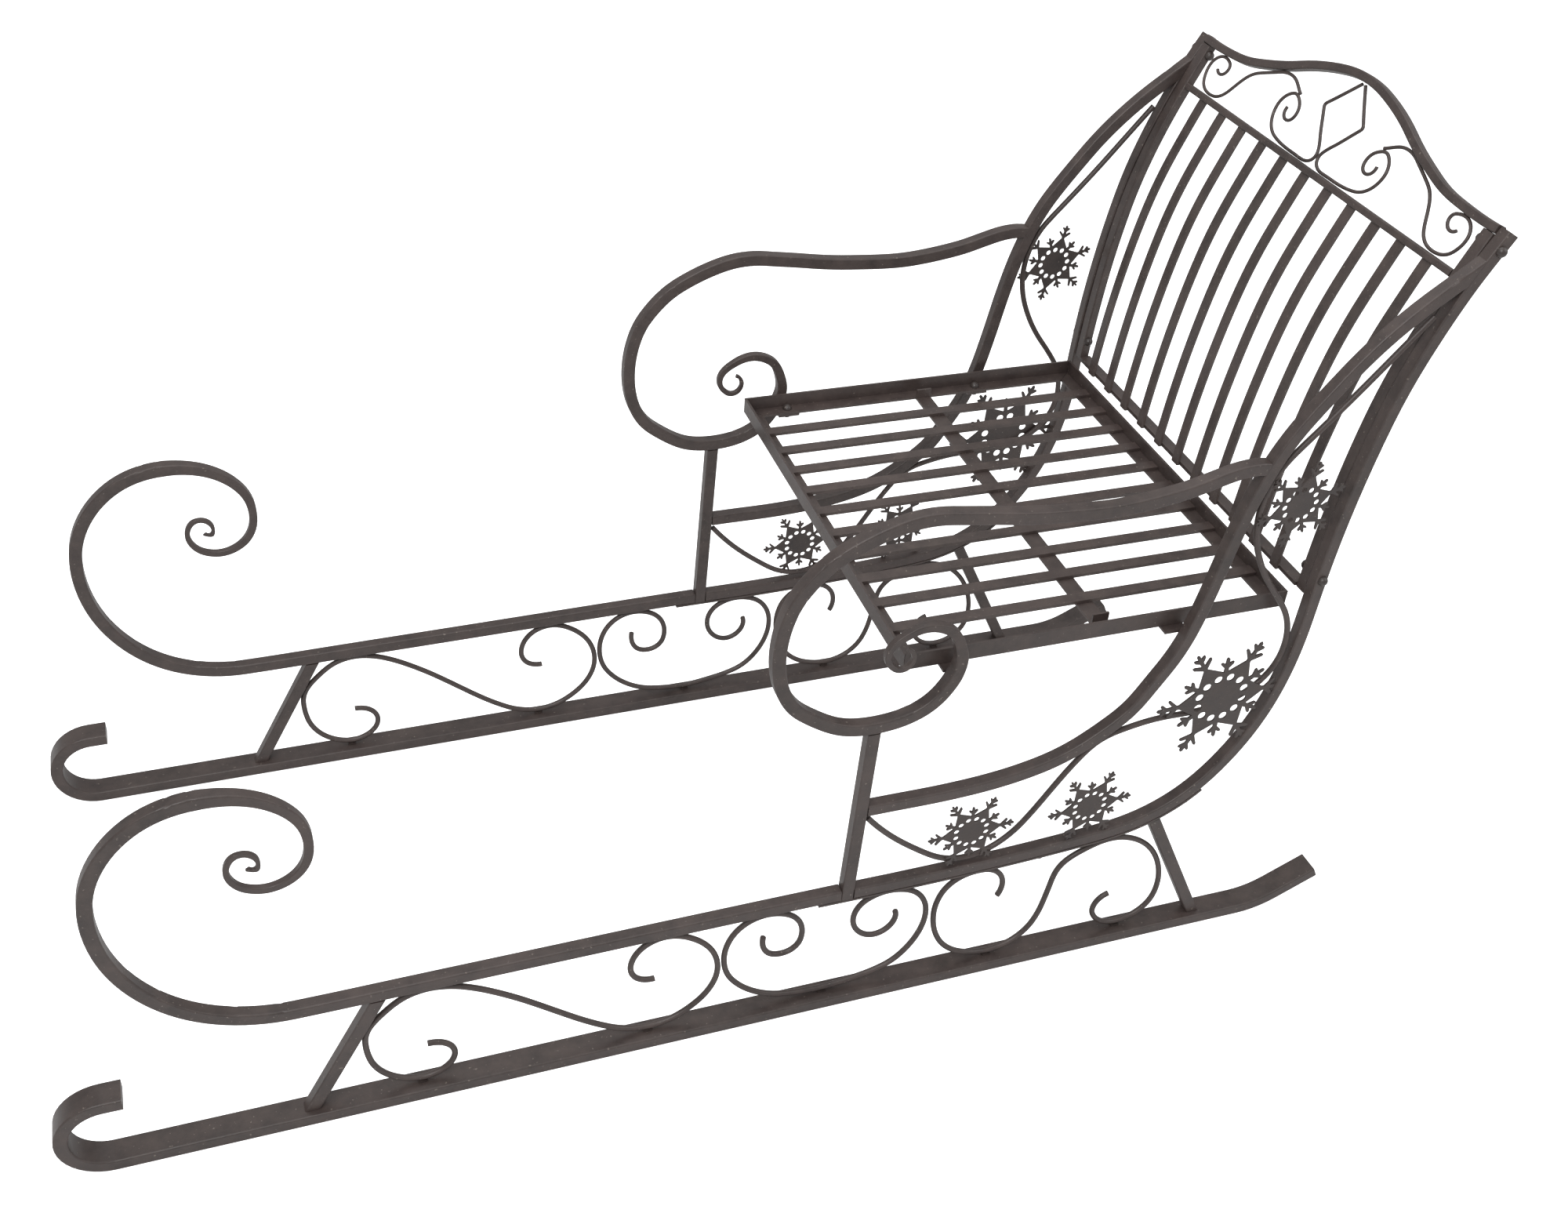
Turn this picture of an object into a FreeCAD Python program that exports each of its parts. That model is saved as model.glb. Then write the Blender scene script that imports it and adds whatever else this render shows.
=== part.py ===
"""Garden sleigh bench: two bent-tube side frames on runners, a slatted seat and a curved back.

Axes: +X is forward, +Y is the sitter's left, +Z is up. Lengths are millimetres.
The side frames are drawn from a station line at the rear face of the front post, and the
whole sleigh is then moved so that the middle of its footprint is at the origin.
"""
import FreeCAD, Part
import math
import os
from FreeCAD import Placement, Rotation, Vector

Y_AXIS = Vector(0, 1, 0)

# name, value, what it is
SIZES = [
    ("frame_spacing", 590, "between the centre planes of the side frames"),
    ("tube_side", 15, "square tube of rails, posts and struts"),
    ("tube_corner", 2, "outside corner radius of every tube"),
    ("runner_width", 30, "flat tube of the runners"),
    ("runner_thick", 15, "flat tube of the runners"),
    ("rail_height", 180, "centre of the lower rails above the ground"),
    ("bay_length", 539, "front post to the head of the front strut"),
    ("hook_radius", 47, "bend of the runner's front hook"),
    ("hook_reach", 287, "front strut's head to the start of the hook's bend"),
    ("hook_lip", 21, "straight end of the front hook"),
    ("tail_start", 545, "front post to the start of the runner's tail bend"),
    ("tail_angle", 26, "how far the tail is bent up, in degrees"),
    ("tail_radius", 130, "bend of the tail"),
    ("tail_length", 60, "straight part of the tail"),
    ("strip_thick", 3, "flat strip under the outer rail"),
    ("scroll_wire", 7, "round bar of the scrolls in the side frames"),
    ("lug_height", 3, "weld lugs between scrolls and runner"),
    ("flake_thick", 2, "cut plate of the snowflakes"),
    ("small_flake", 54, "centre to tip of the small snowflakes"),
    ("large_flake", 83, "centre to tip of the large snowflake"),
    ("seat_length", 470, "seat frame, front to back"),
    ("seat_width", 553, "seat frame, side to side"),
    ("seat_height", 501.5, "top of the seat frame above the ground"),
    ("seat_front", 38, "seat frame's front face behind the station line"),
    ("seat_angle", 20, "legs of the seat's angle bar"),
    ("angle_thick", 3, "thickness of the seat's angle bar"),
    ("seat_slat_width", 15, "flat bars of the seat"),
    ("seat_slat_thick", 4, "flat bars of the seat"),
    ("seat_slat_count", 10, "flat bars of the seat"),
    ("seat_slat_pitch", 47, "flat bars of the seat, centre to centre"),
    ("crossbar_back", 244, "seat frame's front face to the crossbar's middle"),
    ("crossbar_width", 20, "flat bar across the seat's middle"),
    ("crossbar_lip", 15, "turned-up ends of the crossbar"),
    ("bracket_thick", 3, "tabs that carry the seat"),
    ("bracket_length", 28, "tabs that carry the seat"),
    ("front_bracket", 94, "middle of the front tabs behind the station line"),
    ("rear_bracket", 362, "middle of the rear tabs behind the station line"),
    ("back_depth", 12, "back frame's tubes, front to rear"),
    ("upright_width", 16, "back frame's uprights, side to side"),
    ("back_foot", 503.5, "lower end of the back's uprights above the ground"),
    ("back_rail_low", 506, "centre of the back's lower rail above the ground"),
    ("back_tilt", 25.5, "lean of the back above its upper rail, in degrees"),
    ("low_rail_depth", 15, "the back's lower rail, front to rear"),
    ("low_rail_thick", 5, "height of the back's lower rail"),
    ("back_rail_high", 881, "centre of the back's upper rail above the ground"),
    ("back_rail_thick", 8, "height of the back's rails"),
    ("back_slat_width", 14, "flat bars of the back"),
    ("back_slat_thick", 4, "flat bars of the back"),
    ("back_slat_count", 11, "flat bars of the back"),
    ("back_slat_pitch", 46, "flat bars of the back, centre to centre"),
    ("back_wire", 4, "round wire of the back's ornament"),
    ("crown_thick", 10, "height of the crown's tube"),
    ("crown_shoulder", 59, "upper rail to the crown's ends, along the slope"),
    ("crown_peak", 115, "upper rail to the crown's peak, along the slope"),
    ("bolt_shank", 6, "every bolt"),
    ("bolt_head", 12, "dome heads and nuts, across"),
    ("bolt_play", 0.6, "bolt holes over the bolts"),
    ("joint_gap", 0.3, "between pieces that are bolted together"),
]

doc = FreeCAD.newDocument("SleighBench")
sheet = doc.addObject("Spreadsheet::Sheet", "Sizes")
for row, (name, value, meaning) in enumerate(SIZES, start=1):
    sheet.set("A%d" % row, name)
    sheet.set("B%d" % row, str(value))
    sheet.set("C%d" % row, meaning)
    sheet.setAlias("B%d" % row, name)
doc.recompute()


def size(name):
    """One driving size, read from the sheet."""
    return float(getattr(sheet, name))


HALF_TUBE = size("tube_side") / 2
HALF_SPACING = size("frame_spacing") / 2
RAIL = size("rail_height")
RUNNER_TOP = size("runner_thick")
WIRE_RADIUS = size("scroll_wire") / 2
CONTACT = 0.2                      # gap left where a round bar only touches its neighbour

HOOK_START = size("bay_length") + size("hook_reach")
TAIL_TURN = math.radians(size("tail_angle"))

pieces = {}


def at(x, z):
    """A point of a side frame, from its station and its height."""
    return Vector(x, 0, z)


def side_placement(side):
    """Where a side frame's drawing plane goes: side is +1 for left, -1 for right."""
    return Placement(Vector(0, side * HALF_SPACING, 0), Rotation())


def smooth(points):
    """A smooth curve through the points."""
    curve = Part.BSplineCurve()
    curve.interpolate(points)
    return curve


def bent(points, tolerance=0.3):
    """A bar's centre line through the points, made of arcs that run into each other."""
    return Part.Wire([arc.toShape() for arc in smooth(points).toBiArcs(tolerance)])


def start_of(wire):
    """The wire's first point and its direction there."""
    edge = wire.OrderedEdges[0]
    first = edge.FirstParameter
    return edge.valueAt(first), edge.tangentAt(first)


def tube_section(point, along, thick, width, corner, width_axis=Y_AXIS):
    """A rectangle with round corners across a bar: thick in the bend's plane, width out of it."""
    across = along.cross(width_axis)
    across.normalize()
    half_a, half_b = thick / 2, width / 2
    slack = corner * (1 - math.sqrt(0.5))

    def spot(a, b):
        return point + across * a + width_axis * b

    edges = []
    signs = [(1, 1), (-1, 1), (-1, -1), (1, -1)]
    for number, (sign_a, sign_b) in enumerate(signs):
        next_a, next_b = signs[(number + 1) % 4]
        round_one = [(half_a - corner, half_b), (half_a - slack, half_b - slack),
                     (half_a, half_b - corner)]
        if number % 2 == 0:
            round_one.reverse()
        ends = [spot(sign_a * a, sign_b * b) for a, b in round_one]
        edges.append(Part.Arc(*ends).toShape())
        if number % 2 == 0:
            finish = spot(next_a * (half_a - corner), next_b * half_b)
        else:
            finish = spot(next_a * half_a, next_b * (half_b - corner))
        edges.append(Part.makeLine(ends[2], finish))
    return Part.Wire(edges)


def swept_tube(wire, thick, width, corner, width_axis=Y_AXIS):
    """A tube of rounded rectangular section along a flat wire."""
    point, along = start_of(wire)
    section = tube_section(point, along, thick, width, corner, width_axis)
    return wire.makePipeShell([section], True, False)


def tapered_end(curve, start, sections, thick, width, corner, tip_share):
    """The last part of a bar, drawn down evenly to its tip in both directions."""
    last = curve.LastParameter
    rings = []
    for number in range(sections + 1):
        part = number / sections
        where = start + (last - start) * part
        share = 1 - (1 - tip_share) * part ** 0.8
        rings.append(tube_section(curve.value(where), curve.tangent(where)[0], thick * share,
                                  width * share, corner * share))
    return Part.makeLoft(rings, True, False)


def keep(name, shape, placement=None):
    """A sub-part whose shape is worked out here from the sheet's values."""
    piece = doc.addObject("Part::Feature", name)
    piece.Label = name
    piece.Shape = shape
    if placement is not None:
        piece.Placement = placement
    pieces[name] = piece
    return piece


def wire_sweep(name, wire, diameter_alias, placement):
    """A round bar along a wire, its diameter bound to the sheet."""
    spine = doc.addObject("Part::Feature", name + "_path")
    spine.Shape = wire
    point, along = start_of(wire)
    ring = doc.addObject("Part::Circle", name + "_section")
    ring.setExpression("Radius", "Sizes.%s / 2" % diameter_alias)
    ring.Placement = Placement(point, Rotation(Vector(0, 0, 1), along))
    piece = doc.addObject("Part::Sweep", name)
    piece.Label = name
    piece.Sections = [ring]
    piece.Spine = (spine, [])
    piece.Solid = True
    piece.Frenet = False
    piece.Placement = placement
    pieces[name] = piece
    return piece


def padded(name, corners, length_alias, placement, rounded=None):
    """A PartDesign body: a closed outline on the XZ plane, padded evenly to both sides."""
    body = doc.addObject("PartDesign::Body", name)
    body.Label = name
    sketch = body.newObject("Sketcher::SketchObject", name + "_outline")
    plane = [item for item in body.Origin.OriginFeatures if item.Role == "XZ_Plane"][0]
    sketch.AttachmentSupport = [(plane, "")]
    sketch.MapMode = "FlatFace"
    for number, corner in enumerate(corners):
        following = corners[(number + 1) % len(corners)]
        sketch.addGeometry(Part.LineSegment(Vector(*corner, 0), Vector(*following, 0)), False)
    pad = body.newObject("PartDesign::Pad", name + "_pad")
    pad.Profile = sketch
    pad.Midplane = True
    pad.setExpression("Length", "Sizes.%s" % length_alias)
    doc.recompute()
    if rounded is not None:
        direction = Vector(*rounded)
        direction.normalize()
        names = []
        for number, edge in enumerate(pad.Shape.Edges, start=1):
            along = edge.tangentAt(edge.FirstParameter)
            if along.cross(direction).Length < 1e-3:
                names.append("Edge%d" % number)
        fillet = body.newObject("PartDesign::Fillet", name + "_corners")
        fillet.Base = (pad, names)
        fillet.setExpression("Radius", "Sizes.tube_corner")
        body.Tip = fillet
        doc.recompute()
    body.Placement = placement
    pieces[name] = body
    return body


# ---------------------------------------------------------------- side frame: centre lines

FRONT_END = HALF_TUBE * 2 + CONTACT          # the front rail stops at the post's front face
HEAD = size("bay_length")

# The front rail runs forward with a slight fall and rolls up into the big scroll.
# Stations are forward of the strut's head, heights are above the lower rail's centre.
FRONT_SCROLL = [(-245, -2.5), (-100, -4), (50, -5.7), (100, -4.8), (146, 5.5), (184, 25.5),
                (212.5, 52), (239, 92), (254, 138), (257.5, 175), (252.5, 215), (237, 250),
                (210, 281), (175, 301), (140, 306.5), (91, 296), (65, 277), (50, 253),
                (46.5, 233), (49, 210), (59, 192), (74, 181), (91, 177), (106, 180),
                (117, 187), (124, 198), (126, 210), (122, 221), (113, 228), (103.5, 226.5),
                (96, 218), (95.5, 209), (100.5, 204.5), (106, 207.5)]

# The outer rail runs back along the strip and climbs behind the seat to the back's corner.
OUTER_RAIL = [(-0.7, 0), (-98, 0.5), (-197, 3.5), (-246, 6), (-296, 9.5), (-336, 14), (-377, 25),
              (-417, 46), (-470, 101), (-499, 154), (-515, 206), (-523, 257), (-526, 307),
              (-528, 356), (-532, 406), (-537, 455), (-544, 504), (-553, 554), (-566, 604),
              (-584, 654), (-605.5, 703.5), (-627, 743), (-634.5, 756)]

# The inner rail leaves the post, climbs in front of the seat's rear corner and bows forward.
INNER_RAIL = [(-5.7, 127.5), (-98, 127.5), (-140, 129.5), (-195, 137), (-249, 154), (-290, 179),
              (-320, 205), (-341, 237), (-358, 266), (-372, 300), (-381, 334), (-389, 374),
              (-398, 420), (-407, 460), (-419, 500), (-433, 532), (-450, 561), (-470, 588),
              (-492, 617), (-540, 667), (-571, 692), (-600, 713), (-625, 731)]

# The armrest leaves the inner rail, dips, rolls forward over the crest and curls in.
ARMREST = [(-430, 508), (-393, 513), (-344, 500.5), (-295, 491.5), (-246, 487), (-197, 489),
           (-147, 493.6), (-98, 501.2), (-69, 505.4), (-41, 508.3), (2, 501.5), (30, 490.6),
           (54, 478.3), (75, 460.6), (95, 435.8), (110, 391.7), (112.5, 362), (107, 325),
           (92, 295), (65, 271.4), (37, 255), (0, 248.3), (-37, 252.7), (-68, 268.4),
           (-89.5, 300), (-94.5, 321.5), (-90.5, 341), (-82.5, 357), (-69, 366.8),
           (-54, 370.7), (-39, 368.7), (-24.6, 361.8), (-13, 352), (-9, 341), (-12, 330),
           (-17.7, 323.5), (-26.5, 319.5), (-35.4, 323.5), (-39.3, 332.3), (-37.4, 340),
           (-31.5, 344.6)]

# The thin bar that winds between the two rails and carries the snowflakes.
RIBBON = [(-8.5, 112), (-40, 76), (-80, 42), (-110, 22.5), (-139, 16), (-168, 22), (-200, 45),
          (-232, 90), (-262, 135), (-289, 163), (-320, 174), (-360, 180), (-400, 180),
          (-445, 185), (-480, 202), (-503, 232), (-508, 265), (-500, 300), (-482, 328),
          (-452, 370), (-433, 410), (-425, 445), (-427, 475), (-440, 510), (-460, 535),
          (-500, 580), (-545, 634), (-574, 669)]

# Scrolls between runner and rail: station, and share of the gap from runner to rail.
FRONT_S = [(491, 38), (477, 36), (466, 30), (462, 20), (469, 9), (484, 2), (500, 0), (520, 4),
           (538, 13), (551, 28), (556, 47), (552, 68), (536, 82), (513, 95), (487, 100),
           (455, 96), (430, 87), (400, 73), (350, 44.5), (300, 16.5), (270, 4.5), (240, 0),
           (210, 4), (181, 17.5), (163, 34.5), (158, 52), (167, 75), (188, 91), (222, 100),
           (248, 93), (261, 75.5), (256, 62), (246, 57), (233, 55.5)]
CENTER_C = [(104.5, 75), (104, 66), (97, 56), (82, 52), (65, 56), (57, 70), (63, 87), (80, 97),
            (98, 100), (122, 97), (141, 85), (150.5, 62.5), (144, 39), (120, 18.5), (92, 6.5),
            (60, 1.5), (25, 0), (-20, 4), (-60, 12.5), (-85, 30), (-100, 60), (-92, 84),
            (-73, 96.5), (-52, 100), (-27, 97), (-10, 86), (-6.5, 73), (-17, 57.5),
            (-36, 51.5), (-52, 56), (-60, 65), (-59.5, 74)]
REAR_S = [(-193, 65), (-197, 77), (-192, 88.5), (-179, 97), (-162, 100), (-138, 96.5),
          (-118, 83.5), (-111, 60.5), (-118, 35), (-140, 12.5), (-166, 3), (-192, 0),
          (-222, 4.5), (-244, 16.5), (-258, 40), (-264, 61.5), (-273, 81), (-297, 91.5),
          (-338, 97), (-378, 88), (-406, 68), (-420, 41), (-413, 14), (-395, 4), (-371, 0.5),
          (-345, 6.5), (-333.5, 22), (-339, 30), (-351, 35)]

outer_curve = smooth([at(x, RAIL + rise) for x, rise in OUTER_RAIL])


def curve_at_station(curve, station):
    """Parameter at which a curve crosses a station, by halving."""
    low, high = curve.FirstParameter, curve.LastParameter
    falling = curve.value(high).x < curve.value(low).x
    for _ in range(50):
        middle = (low + high) / 2
        if (curve.value(middle).x > station) == falling:
            low = middle
        else:
            high = middle
    return (low + high) / 2


def rail_underside(station):
    """Height of the lowest face over a scroll: the front rail's, or the strip's."""
    if station > FRONT_END:
        fall = 5.7 * min(1, (station - FRONT_END) / (HEAD + 50 - FRONT_END))
        return RAIL - fall - HALF_TUBE
    where = curve_at_station(outer_curve, station)
    slope = outer_curve.tangent(where)[0]
    drop = (HALF_TUBE + size("strip_thick") + CONTACT) / abs(slope.x)
    return outer_curve.value(where).z - drop


# the scrolls touch each other and the front strut, whatever the wire and the tube measure
MIDDLE_SQUEEZE = (154 - WIRE_RADIUS) / 150.5
FRONT_S_REAR = 154.5 + WIRE_RADIUS
FRONT_S_HEAD = HEAD - 1.2 * (HALF_TUBE - 7.5) - 1.2 * (WIRE_RADIUS - 3.5)


def middle_station(station):
    """A point of the middle scroll, squeezed as its wire gets thicker."""
    return station * MIDDLE_SQUEEZE


def front_station(station):
    """A point of the front scroll, stretched between the middle scroll and the front strut."""
    return FRONT_S_REAR + (station - 158) * (FRONT_S_HEAD - FRONT_S_REAR) / (539 - 158)


def scroll_line(points, first_top, second_top, moved=float):
    """A scroll's centre line, touching the rail at two stations and standing on its lugs."""
    low = RUNNER_TOP + size("lug_height") + WIRE_RADIUS
    highs = [rail_underside(station) - WIRE_RADIUS - CONTACT for station in (first_top, second_top)]
    line = []
    for station, share in points:
        part = min(1, max(0, (station - first_top) / (second_top - first_top)))
        high = highs[0] + (highs[1] - highs[0]) * part
        line.append(at(moved(station), low + (high - low) * share / 100))
    return bent(line)


# ---------------------------------------------------------------- side frame: pieces

def runner_wire():
    """Centre line of a runner, from the hook's lip to the tip of the tail."""
    level = RUNNER_TOP / 2
    hook = size("hook_radius")
    top = level + 2 * hook
    lip = Part.makeLine(at(HOOK_START - size("hook_lip"), top), at(HOOK_START, top))
    bow = Part.Arc(at(HOOK_START, top), at(HOOK_START + hook, level + hook), at(HOOK_START, level))
    flat = Part.makeLine(at(HOOK_START, level), at(-size("tail_start"), level))
    # the tail's radius is at its underside, so its centre line bends a little tighter
    radius = size("tail_radius") - level
    pivot = at(-size("tail_start"), level + radius)

    def on_bend(turn):
        return pivot + Vector(-math.sin(turn), 0, -math.cos(turn)) * radius

    bend = Part.Arc(on_bend(0), on_bend(TAIL_TURN / 2), on_bend(TAIL_TURN))
    away = Vector(-math.cos(TAIL_TURN), 0, math.sin(TAIL_TURN))
    tail = Part.makeLine(on_bend(TAIL_TURN), on_bend(TAIL_TURN) + away * size("tail_length"))
    return Part.Wire([lip, bow.toShape(), flat, bend.toShape(), tail])


def build_front_rail():
    """Front rail with its big scroll, drawn down to a fine tip."""
    points = [at(FRONT_END, RAIL), at(150, RAIL - 1)]
    points += [at(HEAD + x, RAIL + rise) for x, rise in FRONT_SCROLL]
    curve = smooth(points)
    count = len(points)
    knots = curve.getKnots()
    taper = knots[count - 20]
    main = curve.copy()
    main.segment(curve.FirstParameter, taper)
    wire = Part.Wire([arc.toShape() for arc in main.toBiArcs(0.3)])
    side, corner = size("tube_side"), size("tube_corner")
    body = swept_tube(wire, side, side, corner)
    tip = tapered_end(curve, taper, 28, side, side, corner, 0.3)
    return body.fuse(tip)


def build_armrest():
    """Armrest with its curl, drawn down to a fine tip."""
    points = [at(x, RAIL + rise) for x, rise in ARMREST]
    curve = smooth(points)
    taper = curve.getKnots()[len(points) - 17]
    main = curve.copy()
    main.segment(curve.FirstParameter, taper)
    wire = Part.Wire([arc.toShape() for arc in main.toBiArcs(0.3)])
    side, corner = size("tube_side"), size("tube_corner")
    body = swept_tube(wire, side, side, corner)
    tip = tapered_end(curve, taper, 28, side, side, corner, 0.3)
    return body.fuse(tip)


front_rail = build_front_rail()
armrest = build_armrest()
side_tube = (size("tube_side"), size("tube_side"), size("tube_corner"))
outer_wire = Part.Wire([arc.toShape() for arc in outer_curve.toBiArcs(0.3)])
outer_rail = swept_tube(outer_wire, *side_tube)
inner_wire = bent([at(x, RAIL + rise) for x, rise in INNER_RAIL])


def trimmed(shape, wire):
    """What is left of a bar up to the tube it runs into."""
    thick = size("tube_side") + 2 * CONTACT
    rest = shape.cut(swept_tube(wire, thick, thick, size("tube_corner")))
    return max(rest.Solids, key=lambda solid: solid.Volume)


inner_rail = trimmed(swept_tube(inner_wire, *side_tube), outer_wire)
armrest = trimmed(armrest, inner_wire)
runner = swept_tube(runner_wire(), RUNNER_TOP, size("runner_width"), size("tube_corner"))

for side, label in ((1, "left"), (-1, "right")):
    there = side_placement(side)
    keep(label + "_runner", runner, there)
    keep(label + "_front_rail", front_rail, there)
    keep(label + "_outer_rail", outer_rail, there)
    keep(label + "_inner_rail", inner_rail, there)
    keep(label + "_armrest", armrest, there)
    wire_sweep(label + "_front_scroll", scroll_line(FRONT_S, 487, 222, front_station), "scroll_wire", there)
    wire_sweep(label + "_center_scroll", scroll_line(CENTER_C, 98, -52, middle_station), "scroll_wire", there)
    wire_sweep(label + "_rear_scroll", scroll_line(REAR_S, -162, -340), "scroll_wire", there)
    wire_sweep(label + "_ribbon_wire", bent([at(x, RAIL + rise) for x, rise in RIBBON]),
               "scroll_wire", there)


# ---------------------------------------------------------------- side frame: posts and struts

def where_on(curve, axis, value):
    """Parameter at which a curve that runs one way along an axis reaches a value."""
    low, high = curve.FirstParameter, curve.LastParameter
    rising = curve.value(high)[axis] > curve.value(low)[axis]
    for _ in range(50):
        middle = (low + high) / 2
        if (curve.value(middle)[axis] < value) == rising:
            low = middle
        else:
            high = middle
    return (low + high) / 2


def leaning_bar(foot, head, foot_height, head_heights):
    """Outline of a tube between two levels: its ends are cut along what it meets."""
    lean = (head.x - foot.x) / (head.z - foot.z)
    half = HALF_TUBE * math.sqrt(1 + lean * lean)

    def corner(shift, height):
        return (foot.x + shift + lean * (height - foot.z), height)

    return [corner(-half, foot_height), corner(half, foot_height),
            corner(half, head_heights[1]), corner(-half, head_heights[0])], lean


POST_FOOT = at(HALF_TUBE, RAIL - HALF_TUBE)
POST_HEAD = at(HALF_TUBE - 9.6, RAIL + 248.3 - HALF_TUBE)
FRONT_FOOT = at(HEAD + 82, RUNNER_TOP)
FRONT_HEAD = at(HEAD, RAIL - 13.2)
REAR_FOOT = at(-481, RUNNER_TOP)
REAR_HEAD = at(-390, RAIL + 13)
GAP = size("joint_gap")


def under_strip(foot, head, shift):
    """Height at which one side of the rear strut reaches the strip's underside."""
    lean = (head.x - foot.x) / (head.z - foot.z)
    height = head.z
    for _ in range(30):
        height = rail_underside(foot.x + shift + lean * (height - foot.z)) - GAP
    return height


def struts(label, there):
    """Front post, front strut and rear strut of one side frame."""
    outline, lean = leaning_bar(POST_FOOT, POST_HEAD, POST_FOOT.z + GAP, [POST_HEAD.z - GAP] * 2)
    padded(label + "_front_post", outline, "tube_side", there, (lean, 0, 1))
    top = rail_underside(HEAD) - GAP
    outline, lean = leaning_bar(FRONT_FOOT, FRONT_HEAD, RUNNER_TOP + GAP, [top] * 2)
    padded(label + "_front_strut", outline, "tube_side", there, (lean, 0, 1))
    tops = [under_strip(REAR_FOOT, REAR_HEAD, shift) for shift in (-HALF_TUBE, HALF_TUBE)]
    outline, lean = leaning_bar(REAR_FOOT, REAR_HEAD, RUNNER_TOP + GAP, tops)
    padded(label + "_rear_strut", outline, "tube_side", there, (lean, 0, 1))


# ---------------------------------------------------------------- bolts

def bolt(head, along, grip, nut=True):
    """A dome-headed bolt from its head's seat, with a dome nut where it comes out."""
    across = size("bolt_head")
    shank = Part.makeCylinder(size("bolt_shank") / 2, grip, head, along)
    ball = Part.makeSphere(across / 2, head)
    keep_side = Part.makeCylinder(across, across, head, -along)
    dome = ball.common(keep_side)
    whole = shank.fuse(dome)
    if nut:
        end = head + along * grip
        cap = Part.makeSphere(across / 2, end).common(Part.makeCylinder(across, across, end, along))
        whole = whole.fuse(cap)
    return whole


def bolt_hole(head, along, grip):
    """What a bolt's hole takes out, a little longer than the grip at both ends."""
    radius = (size("bolt_shank") + size("bolt_play")) / 2
    return Part.makeCylinder(radius, grip + 2, head - along, along)


STRIP_MID = HALF_TUBE + CONTACT + size("strip_thick") / 2
STRIP_FRONT = 42
STRIP_REAR = -437
STRIP_BOLTS = (-239, -420)
TOP_BOLT = outer_curve.value(where_on(outer_curve, 2, 919))
LOW_BOLT = outer_curve.value(where_on(outer_curve, 2, 531))


def below_rail(station, distance):
    """The point under the outer rail's centre line, and the way up from it."""
    if station > 0:
        return at(station, RAIL - distance), Vector(0, 0, 1)
    where = where_on(outer_curve, 0, station)
    slope = outer_curve.tangent(where)[0]
    up = Vector(slope.z, 0, -slope.x)
    return outer_curve.value(where) - up * distance, up


def strip_bolts():
    """Seat, direction and grip of the bolts that come up through the strip."""
    reach = HALF_TUBE + CONTACT + size("strip_thick") + CONTACT
    places = [below_rail(station, reach) for station in STRIP_BOLTS]
    return [(seat, up, size("strip_thick") + HALF_TUBE) for seat, up in places]


def side_bolts(side):
    """Seat, direction and grip of the two bolts from the side frame into the back."""
    grip = size("tube_side") + 2 * GAP + size("upright_width") + 2 * CONTACT
    outside = side * (HALF_TUBE + CONTACT)
    return [(Vector(spot.x, outside, spot.z), Vector(0, -side, 0), grip)
            for spot in (TOP_BOLT, LOW_BOLT)]


def drilled(shape, bolts):
    """The shape with a hole for each bolt."""
    return shape.cut([bolt_hole(*one) for one in bolts])


strip_line = [below_rail(STRIP_FRONT, STRIP_MID)[0], below_rail(20, STRIP_MID)[0]]
strip_line += [below_rail(STRIP_REAR * part / 12, STRIP_MID)[0] for part in range(13)]
strip = swept_tube(bent(strip_line, 0.1), size("strip_thick"), size("tube_side"), 0.5)


def weld_lugs():
    """Small pads of weld that hold the scrolls up off the runner."""
    stations = [front_station(500), front_station(240), 25, -192, -371]
    lugs = []
    for station in stations:
        corner = Vector(station - 5, -3, RUNNER_TOP + CONTACT)
        lugs.append(Part.makeBox(10, 6, size("lug_height") - 2 * CONTACT, corner))
    return Part.makeCompound(lugs)


# ---------------------------------------------------------------- snowflakes

def plate(corners):
    """A flat plate of the snowflakes' thickness, in the side frame's plane."""
    outline = [Vector(x, 0, z) for x, z in corners]
    face = Part.Face(Part.makePolygon(outline + outline[:1]))
    return face.extrude(Vector(0, size("flake_thick"), 0))


def spike(start, angle, length, root, tip):
    """A tapering arm of a snowflake."""
    x, z = start
    along = (math.cos(angle), math.sin(angle))

    def spot(reach, aside):
        return (x + along[0] * reach - along[1] * aside, z + along[1] * reach + along[0] * aside)

    return plate([spot(0, -root), spot(length - tip, -tip), spot(length, 0),
                  spot(length - tip, tip), spot(0, root)])


def snowflake(centre, radius, turn):
    """Six long arms with two pairs of twigs, six short ones, and a pierced heart."""
    x, z = centre

    def out(reach, angle):
        return (x + reach * radius * math.cos(angle), z + reach * radius * math.sin(angle))

    parts = []
    heart = []
    for number in range(12):
        angle = math.radians(turn + 30 * number)
        long_arm = number % 2 == 0
        heart.append(out(0.70 if long_arm else 0.45, angle))
        reach = 1.0 if long_arm else 0.72
        parts.append(spike((x, z), angle, reach * radius, 0.05 * radius, 0.025 * radius))
        twigs = ((0.70, 0.20), (0.86, 0.12)) if long_arm else ((0.55, 0.13),)
        for place, length in twigs:
            for sign in (1, -1):
                parts.append(spike(out(place, angle), angle + sign * math.radians(50),
                                   length * radius, 0.035 * radius, 0.022 * radius))
    whole = plate(heart).fuse(parts).removeSplitter()
    tubes = [swept_tube(wire, size("tube_side") + 2 * CONTACT, size("tube_side") + 2 * CONTACT,
                        size("tube_corner")) for wire in (outer_wire, inner_wire)]
    holes = []
    for number in range(12):
        hole_x, hole_z = out(0.36, math.radians(turn + 15 + 30 * number))
        holes.append(Part.makeCylinder(0.062 * radius, 10, Vector(hole_x, -5, hole_z), Y_AXIS))
    return max(whole.cut(holes + tubes).Solids, key=lambda solid: solid.Volume)


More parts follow.
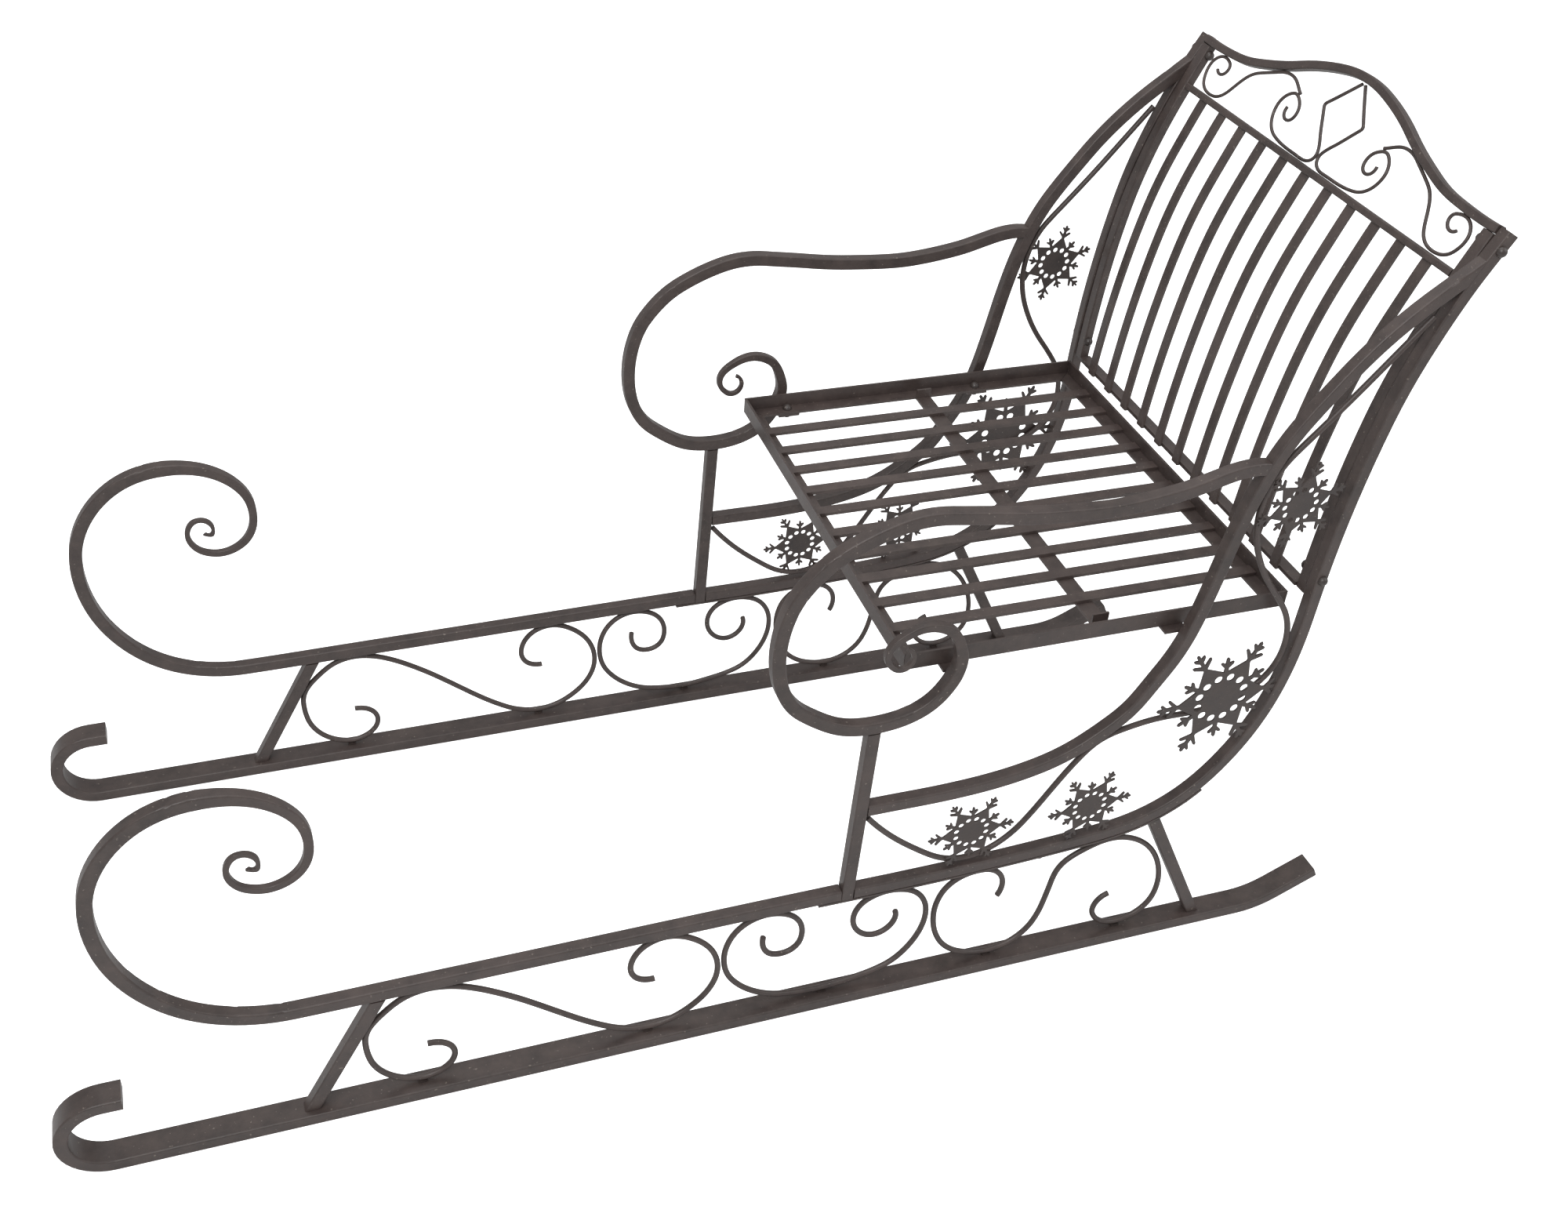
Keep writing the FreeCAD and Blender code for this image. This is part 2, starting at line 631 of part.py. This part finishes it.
SMALL = size("small_flake")
flakes = Part.makeCompound([
    snowflake((-140, RAIL + 61), SMALL, -2.5),
    snowflake((-292, RAIL + 64), SMALL, -5),
    snowflake((-436, RAIL + 199), size("large_flake"), -3.4),
    snowflake((-471, RAIL + 459), SMALL, 42),
])

lugs = weld_lugs()
for side, label in ((1, "left"), (-1, "right")):
    there = side_placement(side)
    struts(label, there)
    keep(label + "_mounting_strip", drilled(strip, strip_bolts()), there)
    keep(label + "_weld_lugs", lugs, there)
    # the plates lie on the outer side of the ribbon wire
    aside = WIRE_RADIUS + CONTACT if side > 0 else -WIRE_RADIUS - CONTACT - size("flake_thick")
    keep(label + "_snowflakes", flakes, Placement(there.Base + Y_AXIS * aside, Rotation()))
    drill = strip_bolts() + side_bolts(side)
    pieces[label + "_outer_rail"].Shape = drilled(outer_rail, drill)
    pieces[label + "_outer_rail"].Placement = there
    bolts = [bolt(*one, nut=False) for one in strip_bolts()] + [bolt(*one) for one in side_bolts(side)]
    keep(label + "_frame_bolts", Part.makeCompound(bolts), there)


# ---------------------------------------------------------------- seat

SEAT_TOP = size("seat_height")
SEAT_LOW = SEAT_TOP - size("seat_angle")
SEAT_X = -size("seat_front") - size("seat_length") / 2
SHELF = SEAT_LOW + size("angle_thick")
HALF_SEAT = size("seat_width") / 2


def seat_bolt_places():
    """Station and side of the four bolts that hold the seat."""
    aside = HALF_SEAT - size("seat_angle") / 2
    return [(-size(name), side * aside)
            for name in ("front_bracket", "rear_bracket") for side in (1, -1)]


def angle_rail(name, length, turn, holes):
    """One mitred member of the seat frame: its upright leg outside, its shelf inside."""
    body = doc.addObject("PartDesign::Body", name)
    body.Label = name
    planes = {item.Role: item for item in body.Origin.OriginFeatures}
    leg, thick = size("seat_angle"), size("angle_thick")
    profile = body.newObject("Sketcher::SketchObject", name + "_profile")
    profile.AttachmentSupport = [(planes["YZ_Plane"], "")]
    profile.MapMode = "FlatFace"
    corners = [(0, 0), (0, leg), (-thick, leg), (-thick, thick), (-leg, thick), (-leg, 0)]
    add_loop(profile, corners)
    pad = body.newObject("PartDesign::Pad", name + "_bar")
    pad.Profile = profile
    pad.Midplane = True
    pad.setExpression("Length", "Sizes.%s" % length)
    doc.recompute()
    mitres = body.newObject("Sketcher::SketchObject", name + "_mitres")
    mitres.AttachmentSupport = [(planes["XY_Plane"], "")]
    mitres.MapMode = "FlatFace"
    end = size(length) / 2
    for sign in (1, -1):
        add_loop(mitres, [(sign * (end + 1 - GAP), 1), (sign * (end + 9), 1),
                          (sign * (end + 9), -leg - 1), (sign * (end - leg - 1 - GAP), -leg - 1)])
    for station, aside in holes:
        circle = Part.Circle(Vector(station, aside, 0), Vector(0, 0, 1),
                             (size("bolt_shank") + size("bolt_play")) / 2)
        mitres.addGeometry(circle, False)
    cut = body.newObject("PartDesign::Pocket", name + "_cuts")
    cut.Profile = mitres
    cut.Midplane = True
    cut.Length = 4 * leg
    body.Tip = cut
    body.Placement = Placement(turn[0], Rotation(Vector(0, 0, 1), turn[1]))
    pieces[name] = body


def add_loop(sketch, corners):
    """A closed outline of straight lines in a sketch."""
    for number, corner in enumerate(corners):
        following = corners[(number + 1) % len(corners)]
        sketch.addGeometry(Part.LineSegment(Vector(*corner, 0), Vector(*following, 0)), False)


def seat():
    """Frame, flat bars, crossbar and the tabs and bolts that carry the seat."""
    aside = -size("seat_angle") / 2
    stations = [place[0] - SEAT_X for place in seat_bolt_places()[::2]]
    front = SEAT_X + size("seat_length") / 2
    rear = SEAT_X - size("seat_length") / 2
    left = [(station, aside) for station in stations]
    right = [(-station, aside) for station in stations]
    angle_rail("seat_left_rail", "seat_length", (Vector(SEAT_X, HALF_SEAT, SEAT_LOW), 0), left)
    angle_rail("seat_right_rail", "seat_length", (Vector(SEAT_X, -HALF_SEAT, SEAT_LOW), 180), right)
    angle_rail("seat_front_rail", "seat_width", (Vector(front, 0, SEAT_LOW), -90), [])
    angle_rail("seat_rear_rail", "seat_width", (Vector(rear, 0, SEAT_LOW), 90), [])

    slats = []
    count = int(size("seat_slat_count"))
    for number in range(count):
        slat = doc.addObject("Part::Box", "seat_slat_%d" % (number + 1))
        slat.setExpression("Length", "Sizes.seat_length - 2 * Sizes.angle_thick - 2 * Sizes.joint_gap")
        slat.setExpression("Width", "Sizes.seat_slat_width")
        slat.setExpression("Height", "Sizes.seat_slat_thick")
        place = (number - (count - 1) / 2) * size("seat_slat_pitch") - size("seat_slat_width") / 2
        slat.Placement.Base = Vector(rear + size("angle_thick") + GAP, place, SHELF + CONTACT)
        slats.append(slat)
    row = doc.addObject("Part::Compound", "seat_slats")
    row.Label = "seat_slats"
    row.Links = slats
    pieces["seat_slats"] = row

    thick, wide = size("angle_thick"), size("crossbar_width")
    start = front - size("crossbar_back") - wide / 2
    reach = HALF_SEAT - size("seat_angle") - GAP
    flat = Part.makeBox(wide, 2 * reach, thick, Vector(start, -reach, SEAT_LOW))
    lips = [Part.makeBox(wide, thick, size("crossbar_lip"), Vector(start, y, SEAT_LOW))
            for y in (-reach, reach - thick)]
    keep("seat_crossbar", flat.fuse(lips).removeSplitter())

    bolts = []
    inner = HALF_SPACING - HALF_TUBE - GAP
    tab_top = SEAT_LOW - CONTACT
    thick = size("bracket_thick")
    for station, y in seat_bolt_places():
        seat_point = Vector(station, y, SHELF + CONTACT)
        bolts.append(bolt(seat_point, Vector(0, 0, -1), SHELF + 2 * CONTACT - tab_top + thick + CONTACT))
    keep("seat_bolts", Part.makeCompound(bolts))
    for side, label in ((1, "left"), (-1, "right")):
        tabs = []
        for place in ("front_bracket", "rear_bracket"):
            corner = Vector(-size(place) - size("bracket_length") / 2, 0, tab_top - thick)
            depth = inner - (HALF_SEAT - size("seat_angle")) 
            corner.y = inner - depth if side > 0 else -inner
            tab = Part.makeBox(size("bracket_length"), depth, thick, corner)
            tabs.append(tab)
        holes = [Part.makeCylinder((size("bolt_shank") + size("bolt_play")) / 2, 20,
                                   Vector(x, y, tab_top - 10)) for x, y in seat_bolt_places()]
        keep(label + "_seat_brackets", Part.makeCompound([tab.cut(holes) for tab in tabs]))


seat()


# ---------------------------------------------------------------- back

TILT = math.radians(size("back_tilt"))
HINGE = outer_curve.value(where_on(outer_curve, 2, size("back_rail_high")))
SLOPE = Vector(-math.sin(TILT), 0, math.cos(TILT))
BACK_PLACE = Placement(Vector(HINGE.x, 0, HINGE.z),
                       Rotation(Y_AXIS, SLOPE, Vector(math.cos(TILT), 0, math.sin(TILT)), "ZXY"))
INSIDE = HALF_SPACING - HALF_TUBE
WIDEN = INSIDE / 287.5


def back_line(foot, forward, end):
    """Centre line of an upright or a flat bar: along the frame's curve, then up the slope."""
    points = []
    steps = 8
    top = size("back_rail_high") - 30
    for number in range(steps + 1):
        height = foot + (top - foot) * number / steps
        spot = outer_curve.value(where_on(outer_curve, 2, height))
        points.append(at(spot.x + forward * (1 - number / steps), height))
    lean = at(HINGE.x, HINGE.z)
    if end > 20:
        points.append(lean)
    points.append(lean + SLOPE * end)
    curve = Part.BSplineCurve()
    curve.interpolate(Points=points, InitialTangent=points[1] - points[0], FinalTangent=SLOPE * 40)
    return Part.Wire([arc.toShape() for arc in curve.toBiArcs(0.3)])


def back():
    """Uprights, rails, flat bars, crown and the wire ornament of the back."""
    centre = INSIDE - 2 * GAP - size("upright_width") / 2
    crown_low = size("crown_shoulder") - size("crown_thick") / 2 - 0.8
    upright = swept_tube(back_line(size("back_foot"), 0, crown_low), size("back_depth"),
                         size("upright_width"), size("tube_corner"))
    for side, label in ((1, "left"), (-1, "right")):
        shifted = side_placement(0)
        drill = [(Vector(seat_at.x, side * (HALF_SPACING + HALF_TUBE), seat_at.z), along, grip)
                 for seat_at, along, grip in side_bolts(side)]
        post = upright.translated(Vector(0, side * centre, 0))
        keep("back_%s_upright" % label, drilled(post, drill), shifted)

    between = "frame_spacing - Sizes.tube_side - 2 * Sizes.upright_width - 6 * Sizes.joint_gap"
    half_d, half_t = size("back_depth") / 2, size("back_rail_thick") / 2
    padded("back_upper_rail", [(-half_d, -half_t), (half_d, -half_t), (half_d, half_t), (-half_d, half_t)],
           between, Placement(BACK_PLACE.Base, Rotation(Y_AXIS, -size("back_tilt"))), (0, 1, 0))
    low = outer_curve.value(where_on(outer_curve, 2, size("back_rail_low")))
    half_d, half_t = size("low_rail_depth") / 2, size("low_rail_thick") / 2
    padded("back_lower_rail", [(-half_d, -half_t), (half_d, -half_t), (half_d, half_t), (-half_d, half_t)],
           between, Placement(Vector(low.x, 0, low.z), Rotation()))

    forward = half_d + size("back_slat_thick") / 2 + GAP
    line = back_line(size("back_foot"), forward, -size("back_rail_thick") / 2 - CONTACT)
    slat = swept_tube(line, size("back_slat_thick"), size("back_slat_width"), 0.8)
    count = int(size("back_slat_count"))
    slats = [slat.translated(Vector(0, (number - (count - 1) / 2) * size("back_slat_pitch"), 0))
             for number in range(count)]
    keep("back_slats", Part.makeCompound(slats), side_placement(0))

    # the crown in the plane of the slope: sideways, then share of the rise to the peak
    shoulder, peak = size("crown_shoulder"), size("crown_peak")
    half_crown = [(INSIDE / WIDEN - GAP, 0), (272, -1), (230, 1), (190, 8), (161, 22), (131, 39),
                  (92, 66), (43, 91)]
    crown = [Vector(y * WIDEN, shoulder + (peak - shoulder) * rise / 100, 0) for y, rise in half_crown]
    crown += [Vector(0, peak, 0)] + [Vector(-spot.x, spot.y, 0) for spot in reversed(crown)]
    keep("back_crown", swept_tube(bent(crown), size("crown_thick"), size("back_depth"),
                                  size("tube_corner"), Vector(0, 0, 1)), BACK_PLACE)

    diamond = [(2.7, 107.5), (14, 95), (25, 83), (34, 73.5), (37, 69), (34.5, 64), (25, 51.5),
               (14, 37.5), (5, 26), (2.7, 20), (4.5, 13), (12, 8), (30, 6.6), (50, 6.8),
               (75, 9), (92, 14.5), (102, 24), (107, 37), (106, 48), (99, 57.5), (90, 61.5),
               (80, 58.5), (72, 51), (70, 42.5), (74, 34), (81, 32), (88, 36), (90, 44.5)]
    wave = [(83, 64), (92, 68.6), (104.7, 74.6), (126.4, 74.5), (144, 68), (158.8, 62), (173.6, 55),
            (188.3, 39.2), (198, 23), (208, 12), (222.7, 7.3), (234.5, 7.3), (247.3, 12),
            (256.2, 26), (257, 38), (250.3, 48), (240.4, 52), (229.6, 51), (221.7, 46),
            (221.7, 39.2), (226.7, 33.8), (239.4, 36)]
    for side, label in ((1, "left"), (-1, "right")):
        wires = []
        for title, points in (("diamond", diamond), ("wave", wave)):
            line = bent([Vector(side * y * WIDEN, s, 0) for y, s in points], 0.2)
            name = "back_%s_%s" % (label, title)
            wire_sweep(name, line, "back_wire", Placement())
            wires.append(pieces.pop(name))
        pair = doc.addObject("Part::Compound", "back_%s_scrolls" % label)
        pair.Label = pair.Name
        pair.Links = wires
        pair.Placement = BACK_PLACE
        pieces["back_%s_scrolls" % label] = pair


back()

doc.recompute()

# the middle of the footprint goes to the origin
high_x = pieces["left_runner"].Shape.optimalBoundingBox().XMax
low_x = min(pieces[name].Shape.optimalBoundingBox().XMin for name in ("left_runner", "back_crown"))
for piece in pieces.values():
    place = piece.Placement
    piece.Placement = Placement(place.Base - Vector((low_x + high_x) / 2, 0, 0), place.Rotation)
doc.recompute()

os.makedirs("parts", exist_ok=True)
for name, piece in pieces.items():
    state = [word for word in piece.State if word in ("Invalid", "Error")]
    shape = piece.Shape
    if state or shape.isNull() or not shape.isValid():
        raise RuntimeError("%s did not build: %s" % (name, piece.State))
    shape.exportStep("parts/%s.step" % name)
    print(name, round(shape.Volume), len(shape.Faces), len(shape.Solids))
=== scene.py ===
"""Garden sleigh bench: its coats of powder paint, the floor, the lights and the camera."""
import bpy
from mathutils import Matrix, Vector

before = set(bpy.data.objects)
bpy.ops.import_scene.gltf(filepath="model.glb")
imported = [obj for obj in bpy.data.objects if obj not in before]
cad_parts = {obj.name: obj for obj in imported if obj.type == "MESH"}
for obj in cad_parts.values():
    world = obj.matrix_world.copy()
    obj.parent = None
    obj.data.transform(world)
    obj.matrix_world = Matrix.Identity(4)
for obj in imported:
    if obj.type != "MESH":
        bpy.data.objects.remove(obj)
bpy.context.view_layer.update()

MM = 0.001
NOISE_LOW, NOISE_HIGH = 0.3, 0.7      # where nearly all of a noise node's values lie


# ---------------------------------------------------------------- colour and node helpers

def linear(hex_colour):
    """A linear RGBA colour from an sRGB hex value."""
    def channel(pair):
        share = int(pair, 16) / 255
        return share / 12.92 if share <= 0.04045 else ((share + 0.055) / 1.055) ** 2.4
    return tuple(channel(hex_colour[place:place + 2]) for place in (0, 2, 4)) + (1.0,)


def node(tree, kind, settings=(), inputs=(), links=()):
    """A node with its settings, its plain input values and the outputs linked to its inputs."""
    made = tree.nodes.new(kind)
    for name, value in dict(settings).items():
        setattr(made, name, value)
    for name, value in dict(inputs).items():
        made.inputs[name].default_value = value
    for name, source in dict(links).items():
        tree.links.new(source, made.inputs[name])
    return made


def ramp(tree, source, stops):
    """A colour ramp on a value, from (place, hex colour) pairs."""
    made = node(tree, "ShaderNodeValToRGB", links={"Fac": source})
    band = made.color_ramp
    while len(band.elements) < len(stops):
        band.elements.new(0.5)
    for element, (place, colour) in zip(band.elements, stops):
        element.position = place
        element.color = linear(colour)
    return made.outputs["Color"]


def spread(tree, source, low, high):
    """A value from noise, moved to between low and high."""
    made = node(tree, "ShaderNodeMapRange",
                inputs={"From Min": NOISE_LOW, "From Max": NOISE_HIGH,
                        "To Min": low, "To Max": high},
                links={"Value": source})
    return made.outputs["Result"]


def blended(tree, share, colour, over):
    """A linked colour with a plain hex colour over it, as far as a linked share says."""
    return node(tree, "ShaderNodeMixRGB", inputs={"Color2": linear(over)},
                links={"Fac": share, "Color1": colour}).outputs["Color"]


# ---------------------------------------------------------------- materials

DUST = "6E655E"            # small pale specks of settled dust
PATCH_SIZE = 140 * MM      # slow drift of the coat's tone along a bar
BRUSH_SIZE = 22 * MM       # rubbed, slightly bronze mottling
GRAIN_SIZE = 1.6 * MM      # orange peel of the cured powder
SPECK_SIZE = 3.5 * MM      # dust and tiny pale specks


def powder_coat(name, dark, body, worn, rough):
    """Polyester powder coat on steel: satin, finely pebbled, mottled, and paler where rubbed."""
    material = bpy.data.materials.new(name)
    material.use_nodes = True
    tree = material.node_tree
    tree.nodes.clear()
    place = node(tree, "ShaderNodeTexCoord").outputs["Object"]

    def noise(size, detail, roughness=0.5):
        return node(tree, "ShaderNodeTexNoise",
                    inputs={"Scale": 1 / size, "Detail": detail, "Roughness": roughness},
                    links={"Vector": place}).outputs["Fac"]

    patches = noise(PATCH_SIZE, 3.0)
    brushed = noise(BRUSH_SIZE, 5.0, 0.65)
    grain = noise(GRAIN_SIZE, 2.0)
    specks = noise(SPECK_SIZE, 1.0)

    tone = ramp(tree, patches, [(NOISE_LOW, dark), (NOISE_HIGH, body)])
    rubbed = spread(tree, brushed, 0.0, 0.45)
    mottled = blended(tree, rubbed, tone, worn)
    # only the highest peaks of the noise are specks
    dusty = ramp(tree, specks, [(0.72, "000000"), (0.78, "FFFFFF")])
    dusted = blended(tree, dusty, mottled, DUST)

    bump = node(tree, "ShaderNodeBump", inputs={"Strength": 0.22, "Distance": 0.25 * MM},
                links={"Height": grain}).outputs["Normal"]
    sheen = spread(tree, brushed, rough - 0.05, rough + 0.09)
    shader = node(tree, "ShaderNodeBsdfPrincipled", inputs={"IOR": 1.5},
                  links={"Base Color": dusted, "Roughness": sheen, "Normal": bump})
    node(tree, "ShaderNodeOutputMaterial", links={"Surface": shader.outputs["BSDF"]})
    return material


# the frame's coat: a warm, dark brown with a paler bronze rub
FRAME_COAT = powder_coat("bronze_brown_powder_coat", "2E2725", "3F3634", "5A4E49", 0.40)
# the flat bars of the seat and back are a little lighter and smoother along their faces
BAR_COAT = powder_coat("satin_bar_powder_coat", "322B29", "453B39", "5F534D", 0.36)
# bolt heads and dome nuts: the same coat on turned steel, a touch darker and glossier
BOLT_COAT = powder_coat("bolt_powder_coat", "272221", "37302F", "4A423E", 0.32)
# cut plate of the snowflakes, flat and a little rougher
PLATE_COAT = powder_coat("cut_plate_powder_coat", "2C2625", "3D3533", "524843", 0.48)
# weld metal under the coat, smooth where it flowed
WELD_COAT = powder_coat("coated_weld_bead", "2A2423", "3A3230", "514641", 0.34)


def finish_for(name):
    """Which coat a CAD node wears."""
    if "bolts" in name:
        return BOLT_COAT
    if "snowflakes" in name:
        return PLATE_COAT
    if "slats" in name:
        return BAR_COAT
    if "lugs" in name:
        return WELD_COAT
    return FRAME_COAT


for name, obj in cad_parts.items():
    for slot in obj.material_slots:
        slot.material = finish_for(name)
    if not obj.material_slots:
        obj.data.materials.append(finish_for(name))


# ---------------------------------------------------------------- floor, lights, camera

PAPER_CLOUDS = 60          # faint clouds of the paper, for each metre
FLOOR_DROP = 0.5 * MM      # the paper lies just under the runners


def studio_floor():
    """A sheet of pale paper under the sleigh, lifted to white where the camera sees it."""
    material = bpy.data.materials.new("white_paper_sweep")
    material.use_nodes = True
    tree = material.node_tree
    tree.nodes.clear()
    place = node(tree, "ShaderNodeTexCoord").outputs["Object"]
    fibre = node(tree, "ShaderNodeTexNoise", inputs={"Scale": PAPER_CLOUDS, "Detail": 2.0},
                 links={"Vector": place}).outputs["Fac"]
    tone = ramp(tree, fibre, [(NOISE_LOW, "E6E6E6"), (NOISE_HIGH, "EEEEEE")])
    paper = node(tree, "ShaderNodeBsdfPrincipled", inputs={"Roughness": 0.9},
                 links={"Base Color": tone})
    rays = node(tree, "ShaderNodeLightPath").outputs["Is Camera Ray"]
    glow = node(tree, "ShaderNodeEmission", inputs={"Color": linear("FFFFFF")},
                links={"Strength": rays})
    both = tree.nodes.new("ShaderNodeAddShader")
    tree.links.new(paper.outputs[0], both.inputs[0])
    tree.links.new(glow.outputs[0], both.inputs[1])
    node(tree, "ShaderNodeOutputMaterial", links={"Surface": both.outputs[0]})
    bpy.ops.object.select_all(action="DESELECT")
    bpy.ops.mesh.primitive_plane_add(size=60, location=(0, 0, -FLOOR_DROP))
    floor = bpy.context.object
    floor.name = "floor"
    floor.data.materials.append(material)


def lamp(name, place, target, size, watts):
    """A soft square lamp that looks at a point."""
    data = bpy.data.lights.new(name, "AREA")
    data.shape = "SQUARE"
    data.size = size
    data.energy = watts
    obj = bpy.data.objects.new(name, data)
    bpy.context.scene.collection.objects.link(obj)
    obj.location = place
    obj.rotation_euler = (Vector(target) - Vector(place)).to_track_quat("-Z", "Y").to_euler()


def white_world():
    """White to the camera, and a plain softer fill for everything else."""
    world = bpy.data.worlds.new("studio")
    bpy.context.scene.world = world
    world.use_nodes = True
    tree = world.node_tree
    tree.nodes.clear()
    rays = node(tree, "ShaderNodeLightPath").outputs["Is Camera Ray"]
    fill = node(tree, "ShaderNodeBackground", inputs={"Color": linear("FFFFFF"), "Strength": 0.5})
    seen = node(tree, "ShaderNodeBackground", inputs={"Color": linear("FFFFFF"), "Strength": 1.0})
    both = tree.nodes.new("ShaderNodeMixShader")
    tree.links.new(rays, both.inputs[0])
    tree.links.new(fill.outputs[0], both.inputs[1])
    tree.links.new(seen.outputs[0], both.inputs[2])
    node(tree, "ShaderNodeOutputWorld", links={"Surface": both.outputs[0]})


# where the camera stands, in metres, where it looks, and the way to the picture's right
CAMERA_PLACE = Vector((0.4958, 1.5575, 1.6121))
VIEW = Vector((-0.29399, -0.74885, -0.59396))
RIGHT = Vector((-0.94461, 0.32249, 0.06095))
LENS = 39.45               # millimetres, on a sensor 36 mm wide


def camera():
    """The camera, from where it stands and the directions it looks in."""
    data = bpy.data.cameras.new("camera")
    data.lens = LENS
    data.sensor_width = 36
    data.clip_end = 100
    obj = bpy.data.objects.new("camera", data)
    bpy.context.scene.collection.objects.link(obj)
    back = -VIEW.normalized()
    right = (RIGHT - back * RIGHT.dot(back)).normalized()
    up = back.cross(right)
    turn = Matrix((right, up, back)).transposed().to_4x4()
    obj.matrix_world = Matrix.Translation(CAMERA_PLACE) @ turn
    bpy.context.scene.camera = obj


studio_floor()
white_world()
lamp("key", (1.6, 2.2, 3.2), (0, 0, 0.4), 1.6, 70)
lamp("fill", (-2.6, 1.4, 2.4), (0, 0, 0.5), 2.4, 30)
lamp("top", (0, -0.4, 3.6), (0, 0, 0.4), 3.0, 45)
camera()
bpy.context.scene.view_settings.view_transform = "Standard"
